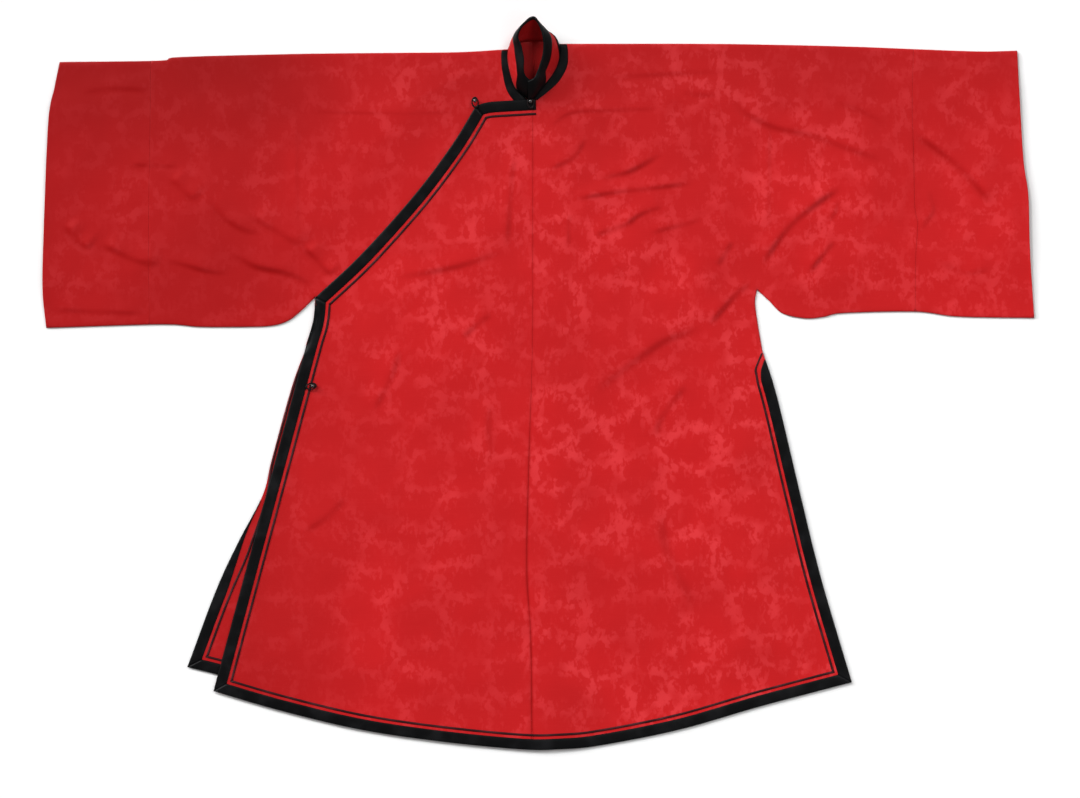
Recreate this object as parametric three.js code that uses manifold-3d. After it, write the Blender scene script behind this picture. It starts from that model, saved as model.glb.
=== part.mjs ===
// A wide-sleeved Chinese robe of silk damask, laid out flat, front up, with its skirt spread.
// Millimetres, +Z up. The back panels lie on the surface, the inner front lies on the back,
// and the overlapping front lies on the inner front. "left" and "right" are the wearer's, so
// left is +X. While it is drawn, x = 0 is the centre seam and y = 0 is the shoulder line.

import * as THREE from "three";
import { mergeVertices } from "three/addons/utils/BufferGeometryUtils.js";
import Module from "manifold-3d";

const wasm = await Module();
wasm.setup();

// ---------------------------------------------------------------- driving dimensions

const CLOTH = 1.2; // wall of silk and its backing
const GAP = 0.3; // between pieces at a seam
const BINDING_WIDTH = 15;
const BINDING_THICK = 0.8;
const PIPING_OFFSET = 18.7; // from an edge to the near side of its piping
const PIPING_WIDTH = 3.4;
const PIPING_THICK = 1.2;
const LOOM_WIDTH = 543; // from the centre seam to the seam of the sleeve end
const SEAM_STRIP = 3; // width over which front and back are one at a fold or a sewn seam
const INNER_FRONT_EDGE = -20; // where the inner front ends, short of the centre seam
const INNER_SHORTER = 25; // the inner front and the back stop this far above the front hem
const SLIT_TOP = -427; // both slits open from here down
const FLAT_MARGIN = 34; // edges lie flat this far in
const HEM_MARGIN = 40; // and the hem so much further
const LOFT = 2; // how far unpressed cloth stands off the layer below
const LOFT_RISE = 60; // distance over which it does so
const TALL = 60; // height of a cutting prism
const FAR = 1500; // past every edge
const DEEP = -5; // below every surface
const END = 6; // how far a hollow runs out past an open end
const STEP = { from: 15, to: 105 }; // where the front comes down past the inner front's edge

const BACK_TOP = CLOTH;
const FRONT_UNDER = BACK_TOP + GAP; // underside of the front panels
const INNER_TOP = FRONT_UNDER + CLOTH;
const OVERLAP_UNDER = INNER_TOP + GAP + PIPING_THICK + GAP; // underside of the overlapping front

// Lines of the grid that panels are drawn on: close across the breast, wider down the skirt.
const lines = (first, last, step) =>
  Array.from({ length: Math.round((last - first) / step) + 1 }, (_, i) => first + i * step);
const COLUMNS = lines(-735, 735, 30);
const BREAST_ROWS = lines(-390, 30, 30);
const ROWS = [...lines(-1050, -450, 60), ...BREAST_ROWS];

const SILK = new THREE.Color(0.7, 0.1, 0.1);
const SATIN = new THREE.Color(0.02, 0.02, 0.025);
const silk = () => new THREE.MeshStandardMaterial({ color: SILK, roughness: 0.55, metalness: 0 });
const satin = () => new THREE.MeshStandardMaterial({ color: SATIN, roughness: 0.6, metalness: 0 });

// ---------------------------------------------------------------- outlines, [x, y]

const SHOULDER_RIGHT = [
  [-669, -20], [-528, -18], [-499, -13], [-330, -8.5], [-188, -7], [-103, -6], [-36, -2],
];
const SHOULDER_LEFT = [[36, 5.7], [236, 5.7], [350, 4.2], [460, 1.4], [545, -2], [630, -5], [684.5, -4]];
const CUFF_RIGHT = [[-669, -20], [-676, -55], [-685, -106], [-691.5, -259], [-693, -343], [-688, -396]];
const CUFF_LEFT = [[684.5, -4], [687, -55], [693, -157], [700, -208], [702, -280], [708.5, -382]];
const UNDERARM_RIGHT = [
  [-688, -396], [-527, -391], [-470, -394.5], [-400, -394.5], [-370, -393], [-348, -387], [-330, -374],
  [-307, -352],
];
const UNDERARM_LEFT = [
  [316.8, -342], [335, -359], [353, -375.5], [385, -382.5], [411, -380.5], [440, -375], [541, -373],
  [601, -380], [708.5, -382],
];
const SEAM_LEFT = [[316.8, -342], [314, -359], [317, -385], [324, SLIT_TOP]];
const SLIT_LEFT = [[324, SLIT_TOP], [345, -496], [377.5, -632], [407, -751], [450, -896.5]];
const SEAM_RIGHT = [[-307, -352], [-306, -384], [-315, -410], [-322, SLIT_TOP]];
const SLIT_RIGHT = [
  [-322, SLIT_TOP], [-340.8, -479], [-369, -581], [-382, -632], [-417, -700], [-448, -768],
  [-488, -875],
];
const HEM = [
  [-451, -909], [-358, -936], [-245, -963], [-131, -980], [-18, -991], [38, -991], [95, -985.6],
  [208, -963], [321, -930.5], [450, -896.5],
];
const PLACKET_TOP = [[-0.15, -73.2], [-30, -75], [-60, -77], [-72, -79.5], [-81, -83.4]];
const PLACKET_SLANT = [
  [-81, -83.4], [-109, -130], [-150, -187], [-197, -243], [-250, -300], [-307, -353],
];
const OVERLAP_SIDE = [[-307, -353], [-310, -385], [-318, -413], [-451, -909]];

// The largest folds, each a soft ridge from one point to the other.
const FOLDS = [
  { name: "shoulder to left sleeve", from: [279, -66], to: [502, -163], width: 20, height: 3.2 },
  { name: "left cuff", from: [540, -120], to: [663, -229], width: 20, height: 3.2 },
  { name: "left armpit, up", from: [324, -332], to: [438, -201], width: 21, height: 4.5 },
  { name: "left underarm", from: [363, -356], to: [427, -271], width: 18, height: 2.6 },
  { name: "left armpit to waist", from: [85, -498], to: [307, -345], width: 21, height: 4.2 },
  { name: "left breast, upper", from: [105, -180], to: [180, -144], width: 20, height: 3 },
  { name: "left breast, middle", from: [52, -215], to: [222, -192], width: 19, height: 3 },
  { name: "left breast, lower", from: [88, -257], to: [180, -222], width: 19, height: 2.4 },
  { name: "left hip", from: [172, -561], to: [219, -458], width: 20, height: 2.6 },
  { name: "left skirt", from: [180, -646], to: [232, -797], width: 20, height: 2.2 },
  { name: "right breast, level", from: [-188, -324], to: [-35, -286], width: 20, height: 3 },
  { name: "right waist", from: [-110, -430], to: [-18, -342], width: 20, height: 3 },
  { name: "centre breast, upright", from: [-27, -158], to: [-32, -286], width: 19, height: 2.8 },
  { name: "right armpit, long", from: [-506, -187], to: [-330, -325], width: 21, height: 4.2 },
  { name: "right underarm", from: [-612, -293], to: [-464, -324], width: 20, height: 3.2 },
  { name: "right cuff", from: [-650, -245], to: [-605, -311], width: 18, height: 3 },
];

// The collar's sections, from the throat round the wearer's right side, the back and the left
// side to the throat again: where it is sewn on, and where its upper edge stands.
const COLLAR = [
  { at: "throat, right end", base: [-9, -70, 2.3], top: [-7, -47, 27] },
  { at: "front right", base: [-25, -56, 2.3], top: [-13, -38, 30] },
  { at: "side right", base: [-33, -31, 2.3], top: [-13.5, -18, 32] },
  { at: "shoulder right", base: [-35.5, -12, 2.3], top: [-17, 1, 33] },
  { at: "behind the shoulder, right", base: [-30, 1, 2.3], top: [-21, 15, 34] },
  { at: "back right", base: [-15, 5, 2.3], top: [-14, 31, 33] },
  { at: "centre back", base: [1, 6, 2.3], top: [1, 41, 30] },
  { at: "back left", base: [16, 6, 2.3], top: [9.5, 29, 33] },
  { at: "behind the shoulder, left", base: [31, 3, 2.3], top: [14.5, 13, 34] },
  { at: "shoulder left", base: [37.5, -10, 2.3], top: [15, -1, 33] },
  { at: "side left", base: [34, -27, 2.3], top: [13, -17, 32] },
  { at: "front left", base: [22, -48, 2.3], top: [6.5, -34, 30] },
  { at: "throat, left end", base: [0, -69, 2.3], top: [-2, -46, 27] },
];
const COLLAR_THICK = 1.6;
const COLLAR_BULGE = 4; // the collar's face rounds out by this much between base and edge
const COLLAR_STATIONS = 30;
const COLLAR_BINDING_FROM = 0.68; // share of the collar's height below its binding
const COLLAR_END = 0.13; // share of its length over which the binding turns down the end
const NECK_BINDING_WIDTH = 10;
const NECK_EASE = 3; // from the middle of the collar to the edge of the neck opening

// Ball buttons in their loops: where each ball sits, and which way its loop runs.
const BUTTONS = [
  { name: "throat", at: [-3.5, -76], loop: [0.1, -1] },
  { name: "corner", at: [-82, -75], loop: [0.1, -1] },
  { name: "side", at: [-311, -478], loop: [-1, -0.2] },
];
const BUTTON_RADIUS = 3.4;
const CORD = 1.1; // radius of a loop's cord
const LOOP_WIDTH = 5.2; // half, across
const LOOP_LENGTH = 8; // half, along

// ---------------------------------------------------------------- helpers

const point2 = ([x, y]) => new THREE.Vector2(x, y);

// A smooth curve through a table's rows, as evenly spaced points.
function curve(rows, step = 20) {
  const spline = new THREE.SplineCurve(rows.map(point2));
  return spline.getSpacedPoints(Math.max(2, Math.ceil(spline.getLength() / step)));
}

// The part of a path on one side of a vertical line, ending on that line.
function clipped(path, x, side) {
  const out = [];
  path.forEach((p, i) => {
    const q = path[i + 1];
    if (side * (p.x - x) >= 0) out.push(p);
    if (q && (p.x - x) * (q.x - x) < 0) out.push(p.clone().lerp(q, (x - p.x) / (q.x - p.x)));
  });
  return out;
}

// Joins paths end to end, leaving out points that repeat.
function joined(...paths) {
  const out = [];
  for (const p of paths.flat()) {
    if (!out.length || out.at(-1).distanceTo(p) > 0.5) out.push(p);
  }
  if (out[0].distanceTo(out.at(-1)) < 0.5) out.pop();
  return out;
}

const shifted = (path, dx, dy) => path.map((p) => new THREE.Vector2(p.x + dx, p.y + dy));

function solid(geometry) {
  geometry.deleteAttribute("normal");
  geometry.deleteAttribute("uv");
  const merged = mergeVertices(geometry, 1e-3);
  return new wasm.Manifold(
    new wasm.Mesh({
      numProp: 3,
      vertProperties: new Float32Array(merged.attributes.position.array),
      triVerts: new Uint32Array(merged.index.array),
    }),
  );
}

function prism(outline, low = -1, high = TALL) {
  const extruded = new THREE.ExtrudeGeometry(new THREE.Shape(outline), {
    depth: high - low,
    bevelEnabled: false,
  });
  return solid(extruded.translate(0, 0, low));
}

function block(x0, x1, y0, y1, z0 = -2, z1 = TALL) {
  const box = new THREE.BoxGeometry(x1 - x0, y1 - y0, z1 - z0);
  return solid(box.translate((x0 + x1) / 2, (y0 + y1) / 2, (z0 + z1) / 2));
}

// A slab over an outline, between two height functions of x and y, with its points on the given
// columns and rows. Neighbouring pieces share lines, so their surfaces run on into each other.
function slab(outline, under, over, columns = COLUMNS, rows = ROWS) {
  const box = new THREE.Box2().setFromPoints(outline).expandByScalar(END + 1);
  const within = (list, low, high) => [low, ...list.filter((value) => value > low && value < high), high];
  const xs = within(columns, box.min.x, box.max.x);
  const ys = within(rows, box.min.y, box.max.y);
  const pick = (list, share) => list[Math.round((share + 0.5) * (list.length - 1))];
  const geometry = new THREE.BoxGeometry(1, 1, 1, xs.length - 1, ys.length - 1, 1);
  const at = geometry.getAttribute("position");
  for (let i = 0; i < at.count; i++) {
    const x = pick(xs, at.getX(i));
    const y = pick(ys, at.getY(i));
    at.setXYZ(i, x, y, (at.getZ(i) > 0 ? over : under)(x, y));
  }
  return solid(geometry);
}

// A box bent into shape: place(u, v, w) gives the point for shares of its length, width and depth.
function bent(lengthSteps, widthSteps, place) {
  const geometry = new THREE.BoxGeometry(1, 1, 1, lengthSteps, widthSteps, 1);
  const at = geometry.getAttribute("position");
  for (let i = 0; i < at.count; i++) {
    const p = place(at.getX(i) + 0.5, at.getY(i) + 0.5, at.getZ(i) + 0.5);
    at.setXYZ(i, p.x, p.y, p.z);
  }
  return solid(geometry);
}

const robe = new THREE.Group();
const CENTRE = new THREE.Vector2(-8.5, 473.7); // brings the whole robe's middle to the origin

function add(name, made, material) {
  const mesh = made.getMesh();
  const geometry = new THREE.BufferGeometry();
  geometry.setAttribute("position", new THREE.BufferAttribute(mesh.vertProperties, 3));
  geometry.setIndex(new THREE.BufferAttribute(mesh.triVerts, 1));
  geometry.translate(CENTRE.x, CENTRE.y, 0).computeVertexNormals();
  const node = new THREE.Mesh(geometry, material);
  node.name = name;
  robe.add(node);
}

// ---------------------------------------------------------------- heights

const smooth = (low, high, value) => {
  const t = Math.min(1, Math.max(0, (value - low) / (high - low)));
  return t * t * (3 - 2 * t);
};

function distanceTo(path, x, y) {
  let least = Infinity;
  for (let i = 0; i + 1 < path.length; i++) {
    const a = path[i];
    const b = path[i + 1];
    const along = ((x - a.x) * (b.x - a.x) + (y - a.y) * (b.y - a.y)) / a.distanceToSquared(b);
    const t = Math.min(1, Math.max(0, along));
    least = Math.min(least, Math.hypot(x - a.x - t * (b.x - a.x), y - a.y - t * (b.y - a.y)));
  }
  return least;
}

function foldHeight(x, y) {
  let height = 0;
  for (const { from, to, width, height: crest } of FOLDS) {
    const dx = to[0] - from[0];
    const dy = to[1] - from[1];
    const t = ((x - from[0]) * dx + (y - from[1]) * dy) / (dx * dx + dy * dy);
    const near = Math.min(1, Math.max(0, t));
    const off = Math.hypot(x - from[0] - near * dx, y - from[1] - near * dy) / width;
    height += crest * Math.exp(-off * off);
  }
  return height;
}

const paths = {
  shoulderRight: curve(SHOULDER_RIGHT, 60),
  shoulderLeft: curve(SHOULDER_LEFT, 60),
  cuffRight: curve(CUFF_RIGHT, 50),
  cuffLeft: curve(CUFF_LEFT, 50),
  underarmRight: curve(UNDERARM_RIGHT, 24),
  underarmLeft: curve(UNDERARM_LEFT, 24),
  seamLeft: curve(SEAM_LEFT, 25),
  slitLeft: curve(SLIT_LEFT, 40),
  seamRight: curve(SEAM_RIGHT, 25),
  slitRight: curve(SLIT_RIGHT, 40),
  hem: curve(HEM, 30),
  placketTop: curve(PLACKET_TOP, 20),
  placketSlant: curve(PLACKET_SLANT, 30),
  overlapSide: curve(OVERLAP_SIDE, 40),
};
const innerHem = joined(
  [point2(SLIT_RIGHT.at(-1))],
  clipped(shifted(paths.hem, 0, INNER_SHORTER), -448, 1),
);

const boundEdges = [
  paths.placketTop, paths.placketSlant, paths.overlapSide, paths.seamLeft, paths.slitLeft,
];
const sewnEdges = [
  paths.shoulderRight, paths.shoulderLeft, paths.cuffRight, paths.cuffLeft, paths.underarmRight,
  paths.underarmLeft,
];
const frontOutline = joined(
  paths.placketTop, paths.placketSlant, paths.overlapSide, paths.hem, paths.slitLeft.toReversed(),
  paths.seamLeft.toReversed(), paths.underarmLeft, paths.cuffLeft.toReversed(),
  paths.shoulderLeft.toReversed(),
);

function inside(outline, x, y) {
  let odd = false;
  for (let i = 0, j = outline.length - 1; i < outline.length; j = i++) {
    const a = outline[i];
    const b = outline[j];
    if (a.y > y !== b.y > y && x < ((b.x - a.x) * (y - a.y)) / (b.y - a.y) + a.x) odd = !odd;
  }
  return odd;
}

// How far the cloth stands up from lying flat: nothing at its edges, then loft and folds.
function relief(x, y) {
  const hem = distanceTo(paths.hem, x, y) - HEM_MARGIN;
  const bound = Math.min(hem, ...boundEdges.map((path) => distanceTo(path, x, y)));
  const sewn = Math.min(...sewnEdges.map((path) => distanceTo(path, x, y)));
  const neck = Math.hypot(x, y + 30) - 62;
  const rise = smooth(FLAT_MARGIN, FLAT_MARGIN + LOFT_RISE, Math.min(bound, sewn + 12));
  return (LOFT + foldHeight(x, y)) * rise * smooth(0, LOFT_RISE, neck);
}

// The overlapping front and the left front are one surface. It steps down past the inner front.
const frontBase = (x) => OVERLAP_UNDER - (OVERLAP_UNDER - FRONT_UNDER) * smooth(STEP.from, STEP.to, x);
const frontUnder = (x, y) => frontBase(x) + relief(x, y);
const frontTop = (x, y) => frontUnder(x, y) + CLOTH;

// The inner front stands up only where no overlapping front lies on it.
function innerTop(x, y) {
  const hidden = inside(frontOutline, x, y) || x > 0 || y < -400;
  return INNER_TOP + (hidden ? 0 : relief(x, y));
}

// ---------------------------------------------------------------- cloth

const BACK_CUT = BACK_TOP + GAP / 2; // between the back and the front
const MARGIN = BINDING_WIDTH + GAP;

// Front and back walls in one: joined along a fold or sewn seam, parted over the hollow.
function doubled(outline, top, hollow, rows) {
  const whole = prism(outline, 0).intersect(slab(outline, () => DEEP, top, COLUMNS, rows));
  const between = slab(outline, () => DEEP, (x, y) => top(x, y) - CLOTH, COLUMNS, rows);
  return whole.subtract(prism(hollow, BACK_TOP).intersect(between));
}

// A path carried on past both its ends, level.
const carriedOn = (path, by) => {
  const side = Math.sign(path.at(-1).x - path[0].x) * by;
  return [...shifted(path.slice(0, 1), -side, 0), ...path, ...shifted(path.slice(-1), side, 0)];
};

function body(outline, top, side, seam, sleeve, hem, rows) {
  const [underarm, shoulder] = sleeve;
  const hollow = joined(
    [[-side * END, -FAR], [side * FAR, -FAR], [side * FAR, SLIT_TOP]].map(point2),
    shifted(seam.toReversed(), -side * SEAM_STRIP, 0),
    shifted(underarm, 0, SEAM_STRIP),
    shifted([underarm.at(-1), shoulder[0]], side * END, 0).map((p, i) => p.setY(p.y + (i ? -3 : 3))),
    shifted(shoulder, 0, -SEAM_STRIP),
    [new THREE.Vector2(-side * END, -SEAM_STRIP)],
  );
  const walls = doubled(outline, top, hollow, rows);
  const back = prism(shifted(outline, -side * MARGIN, 0), DEEP, BACK_CUT)
    .intersect(prism(shifted(outline, 0, hem + MARGIN), DEEP, BACK_CUT));
  return walls.subtract(block(-FAR, FAR, -FAR, SLIT_TOP, DEEP, BACK_CUT).subtract(back));
}

function backBinding(outline, side, hem) {
  const low = prism(shifted(outline, 0, hem), 0, CLOTH).intersect(prism(outline, 0, CLOTH));
  const within = prism(shifted(outline, -side * BINDING_WIDTH, 0))
    .intersect(prism(shifted(outline, 0, hem + BINDING_WIDTH)));
  return low.intersect(block(-FAR, FAR, -FAR, SLIT_TOP - GAP)).subtract(within);
}

const inner = (path, side) => clipped(path, side * LOOM_WIDTH, -side); // this side of the sleeve's seam
const sleeveLeft = [inner(paths.underarmLeft, 1), inner(paths.shoulderLeft, 1).toReversed()];
const sleeveRight = [
  inner(paths.underarmRight, -1).toReversed(), inner(paths.shoulderRight, -1),
];
const leftOutline = joined(
  clipped(paths.hem, GAP / 2, 1), paths.slitLeft.toReversed(), paths.seamLeft.toReversed(),
  ...sleeveLeft, [[20, 9], [GAP / 2, 10]].map(point2),
);
const rightOutline = joined(
  clipped(innerHem, -GAP / 2, -1).toReversed(), paths.slitRight.toReversed(),
  paths.seamRight.toReversed(), ...sleeveRight, [[-20, 7], [-GAP / 2, 10]].map(point2),
);

const vectors = (key) => COLLAR.map((row) => new THREE.Vector3(...row[key]));
const collarBase = new THREE.CatmullRomCurve3(vectors("base"));
const collarTop = new THREE.CatmullRomCurve3(vectors("top"));

// The neck opening goes through the front only, and through the fold at its upper end.
const neckRing = (out) => joined(collarBase.getPoints(COLLAR_STATIONS).map(({ x, y }) => {
  const away = new THREE.Vector2(x, y + 30).setLength(out);
  return new THREE.Vector2(x + away.x, y + away.y);
}));
const neckHole = prism(neckRing(NECK_EASE), BACK_CUT).add(block(-37, 38, -12, 20, BACK_CUT));

const leftBody = body(leftOutline, frontTop, 1, paths.seamLeft, sleeveLeft, INNER_SHORTER, ROWS);
const rightBody = body(rightOutline, innerTop, -1, paths.seamRight, sleeveRight, 0, BREAST_ROWS);
add("left_body", leftBody.subtract(neckHole), silk());
add(
  "right_body",
  rightBody.subtract(neckHole).subtract(block(INNER_FRONT_EDGE, 5, -FAR, 20, BACK_CUT)),
  silk(),
);
add("back_binding_left", backBinding(leftOutline, 1, INNER_SHORTER), satin());
add("back_binding_right", backBinding(rightOutline, -1, 0), satin());

function sleeveEnd(underarm, cuff, shoulder, side, top) {
  const outer = (path) => clipped(path, side * (LOOM_WIDTH + GAP), side);
  const outline = joined(outer(underarm), cuff, outer(shoulder));
  const hollow = [
    ...carriedOn(shifted(outer(underarm), 0, SEAM_STRIP), END + 4),
    ...carriedOn(shifted(outer(shoulder), 0, -SEAM_STRIP), END + 4),
  ];
  return doubled(outline, top, hollow);
}

const leftEnd = [paths.underarmLeft, paths.cuffLeft.toReversed(), paths.shoulderLeft.toReversed()];
const rightEnd = [paths.underarmRight.toReversed(), paths.cuffRight.toReversed(), paths.shoulderRight];
add("left_sleeve_end", sleeveEnd(...leftEnd, 1, frontTop), silk());
add("right_sleeve_end", sleeveEnd(...rightEnd, -1, innerTop), silk());

const overlapOutline = joined(
  paths.placketTop, paths.placketSlant, paths.overlapSide, clipped(paths.hem, -GAP / 2, -1),
);
add("overlap_front", prism(overlapOutline).intersect(slab(overlapOutline, frontUnder, frontTop)), silk());

// ---------------------------------------------------------------- bindings and pipings

// The path set in by a distance, to its left, with its corners mitred.
function offset(path, distance) {
  const normal = (a, b) => new THREE.Vector2(a.y - b.y, b.x - a.x).normalize();
  return path.map((p, i) => {
    const before = normal(path[Math.max(i - 1, 0)], path[Math.max(i, 1)]);
    const after = normal(path[Math.min(i, path.length - 2)], path[Math.min(i + 1, path.length - 1)]);
    const mitre = before.clone().add(after).normalize();
    const reach = typeof distance === "function" ? distance(p, i) : distance;
    return p.clone().addScaledVector(mitre, reach / mitre.dot(before));
  });
}

// A strip between two offsets of part of a border, its ends half a gap short of the mitre.
function strip(border, from, to, near, far) {
  const index = (corner) => {
    const away = border.map((p) => p.distanceTo(point2(corner)));
    return away.indexOf(Math.min(...away));
  };
  const part = (distance) => {
    const points = offset(border, distance).slice(index(from), index(to) + 1);
    const trim = (end, next) => end.add(next.clone().sub(end).setLength(0.8 * GAP));
    trim(points[0], points[1]);
    trim(points.at(-1), points.at(-2));
    return points;
  };
  return [...part(near), ...part(far).toReversed()];
}

// Bindings lie on flat margins, so across them only the step past the centre shows.
function laid(outline, thick) {
  const onto = (lift) => (x) => frontBase(x) + CLOTH + GAP + lift;
  return prism(outline).intersect(slab(outline, onto(0), onto(thick), lines(STEP.from, STEP.to, 30), []));
}

const frontBorder = joined(
  paths.placketTop, paths.placketSlant, paths.overlapSide, paths.hem, paths.slitLeft.toReversed(),
);
const SLIT_BINDING_TOP = [330, -441]; // where the slit's binding starts, as a point
const runs = [
  { name: "placket", from: PLACKET_TOP[0], to: PLACKET_SLANT.at(-1) },
  { name: "overlap_side", from: OVERLAP_SIDE[0], to: OVERLAP_SIDE.at(-1) },
  { name: "hem", from: HEM[0], to: HEM.at(-1) },
  { name: "slit", from: HEM.at(-1), to: SLIT_LEFT[0] },
];
const PIPING_FAR = PIPING_OFFSET + PIPING_WIDTH;
for (const { name, from, to } of runs) {
  const binding = strip(frontBorder, from, to, 0, BINDING_WIDTH);
  const piping = strip(frontBorder, from, to, PIPING_OFFSET, PIPING_FAR);
  const above = block(-FAR, FAR, name === "slit" ? SLIT_BINDING_TOP[1] : FAR, FAR + 1);
  add(`${name}_binding`, laid(binding, BINDING_THICK).subtract(above), satin());
  add(`${name}_piping`, laid(piping, PIPING_THICK).subtract(above), satin());
}

const innerBorder = joined(
  paths.seamRight, paths.slitRight, clipped(innerHem, INNER_FRONT_EDGE, -1),
);
const onInner = (outline, thick) => prism(outline, INNER_TOP + GAP, INNER_TOP + GAP + thick);
const INNER_CORNER = SLIT_RIGHT.at(-1);
const INNER_END = [INNER_FRONT_EDGE, -960];
const INNER_BINDING_START = [-392, -652];
// Above the slit the inner front's edge is rolled under, so its binding widens from nothing.
const innerWidth = ({ y }) => 1 + (BINDING_WIDTH - 1) * smooth(655, 775, -y);
const innerPiping = (extra) => ({ y }) =>
  0.4 + (PIPING_OFFSET - 0.4) * smooth(590, 730, -y) + extra;
const innerSide = strip(innerBorder, INNER_BINDING_START, INNER_CORNER, 0, innerWidth);
const innerHemBand = strip(innerBorder, INNER_CORNER, INNER_END, 0, BINDING_WIDTH);
const innerLine = strip(innerBorder, [-306.5, -375], INNER_END, innerPiping(0), innerPiping(PIPING_WIDTH));
add("inner_side_binding", onInner(innerSide, BINDING_THICK), satin());
add("inner_hem_binding", onInner(innerHemBand, BINDING_THICK), satin());
add("inner_piping", onInner(innerLine, PIPING_THICK), satin());

// ---------------------------------------------------------------- collar and neck

function collarPoint(u, v) {
  const base = collarBase.getPoint(u);
  const out = new THREE.Vector3(base.x, base.y + 30, 0).setLength(COLLAR_BULGE * 4 * v * (1 - v));
  return base.lerp(collarTop.getPoint(u), v).add(out);
}

function collarNormal(u, v) {
  const step = 0.01;
  const along = collarPoint(Math.min(1, u + step), v).sub(collarPoint(Math.max(0, u - step), v));
  const up = collarPoint(u, Math.min(1, v + step)).sub(collarPoint(u, Math.max(0, v - step)));
  return up.cross(along).normalize();
}

// A layer of the collar, between two distances out from its middle face.
function collarLayer(near, far, from) {
  return bent(COLLAR_STATIONS, 5, (u, v, w) => {
    const share = from(u) + v * (1 - from(u));
    return collarPoint(u, share).addScaledVector(collarNormal(u, share), far - w * (far - near));
  });
}

const face = COLLAR_THICK / 2;
const bindingFrom = (u) =>
  COLLAR_BINDING_FROM * smooth(0, COLLAR_END, u) * smooth(0, COLLAR_END, 1 - u);
add("collar", collarLayer(-face, face, () => 0), silk());
const bandAway = face + 2 * GAP; // clear of the collar where it bends
add("collar_binding", collarLayer(bandAway, bandAway + BINDING_THICK, bindingFrom), satin());

function neckBinding(side) {
  const ring = prism(neckRing(NECK_EASE + NECK_BINDING_WIDTH), DEEP)
    .subtract(prism(neckRing(NECK_EASE), DEEP));
  const half = side > 0 ? block(3, 60, -70.5, -6) : block(-60, -16, -70.5, -6);
  const top = side > 0 ? frontBase : () => FRONT_UNDER;
  const onto = (lift) => (x) => top(x) + CLOTH + GAP + lift;
  const around = neckRing(20);
  const sheet = slab(around, onto(0), onto(BINDING_THICK), lines(STEP.from, STEP.to, 30), []);
  return ring.intersect(half).intersect(sheet);
}
add("neck_binding_left", neckBinding(1), satin());
add("neck_binding_right", neckBinding(-1), satin());

// ---------------------------------------------------------------- buttons and loops

const BAND_TOP = OVERLAP_UNDER + CLOTH + GAP + PIPING_THICK;
for (const { name, at: [x, y], loop } of BUTTONS) {
  const floor = BAND_TOP + GAP;
  const ball = new THREE.SphereGeometry(BUTTON_RADIUS, 14, 9).rotateX(Math.PI / 2);
  add(`button_${name}`, solid(ball.translate(x, y, floor + BUTTON_RADIUS)), satin());
  const ring = new THREE.TorusGeometry(1, CORD / LOOP_WIDTH, 6, 20);
  ring.scale(LOOP_LENGTH, LOOP_WIDTH, LOOP_WIDTH);
  ring.rotateZ(Math.atan2(loop[1], loop[0]));
  const along = new THREE.Vector2(...loop).setLength(LOOP_LENGTH - LOOP_WIDTH);
  add(`loop_${name}`, solid(ring.translate(x + along.x, y + along.y, floor + CORD)), satin());
}

export default robe;
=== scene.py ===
"""The chinese robe, laid flat with its front up: thin shells of silk and satin on the CAD frame.

Lengths in the tables are millimetres, x from the centre seam and y from the shoulder line, z up.
The wearer's left is +X. place() turns them into the frame's metres.
"""

import math

import bmesh
import bpy
import numpy as np
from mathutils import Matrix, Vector, noise
from mathutils.geometry import delaunay_2d_cdt


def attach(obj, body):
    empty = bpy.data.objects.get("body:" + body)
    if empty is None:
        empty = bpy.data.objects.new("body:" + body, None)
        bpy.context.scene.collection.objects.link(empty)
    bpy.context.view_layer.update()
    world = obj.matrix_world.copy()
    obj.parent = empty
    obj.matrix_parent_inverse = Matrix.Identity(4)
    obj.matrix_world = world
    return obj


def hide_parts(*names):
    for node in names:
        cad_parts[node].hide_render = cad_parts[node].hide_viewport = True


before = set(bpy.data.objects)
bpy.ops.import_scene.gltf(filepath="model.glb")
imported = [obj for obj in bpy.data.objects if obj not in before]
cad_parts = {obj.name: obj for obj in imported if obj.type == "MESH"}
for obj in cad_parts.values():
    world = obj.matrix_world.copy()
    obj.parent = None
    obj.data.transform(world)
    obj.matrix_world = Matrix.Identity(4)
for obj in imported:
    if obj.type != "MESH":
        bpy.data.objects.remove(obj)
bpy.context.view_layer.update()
CENTRE = (-8.5, 473.7)

# ------------------------------------------------------------------ sizes

CLOTH = 1.0  # thickness of a layer
BINDING = 15.0  # width of the satin bindings
PIPING = (18.7, 22.1)  # how far in from the edge the piping starts and ends
SEAM_GAP = 0.05  # between a sleeve and its end
HAIR = 0.03  # the fronts stop short of the centre seam by this much, and the backs lap over it
BINDING_GAP = 0.3  # between the back's cloth and its binding
INNER_TOP = 2.7  # height of the inner front's upper side, and of the right sleeve's
OVERLAP_TOP = 5.7  # the same of the overlapping front, which lies on it
STEP = (15.0, 105.0)  # where the front comes down past the inner front's edge
SLIT_TOP = -427.0
INNER_SHORTER = 25.0  # how far above the hem the inner front and the back end
INNER_FRONT_EDGE = -20.0
INNER_FLAT = -400.0  # below this the inner front lies flat
INNER_FRONT_END = -962.0
BACK_END = -945.0
FLAT_MARGIN = (20.0, 94.0)  # from its edges: where the cloth starts to rise, and has its full loft
NECK_CENTRE = (0.0, -30.0)
NECK_FLAT = (50.0, 110.0)  # the same round the neck, from its centre
LOFT = 2.0
ROLL = 5.0  # radius of a fold or sewn edge, seen from above
ROLL_LEVEL = 1.5  # height of its outermost line
LIGHT_FROM = (-0.45, 0.9)
CREASE_RISE = 0.33  # share of a crease's stated height to which pressing has brought it down
CREASE_SHADE = 0.12  # how much darker its valley is for each millimetre of that height
SEAM_DEEP = 0.5

# ------------------------------------------------------------------ outlines, (x, y)

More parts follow.
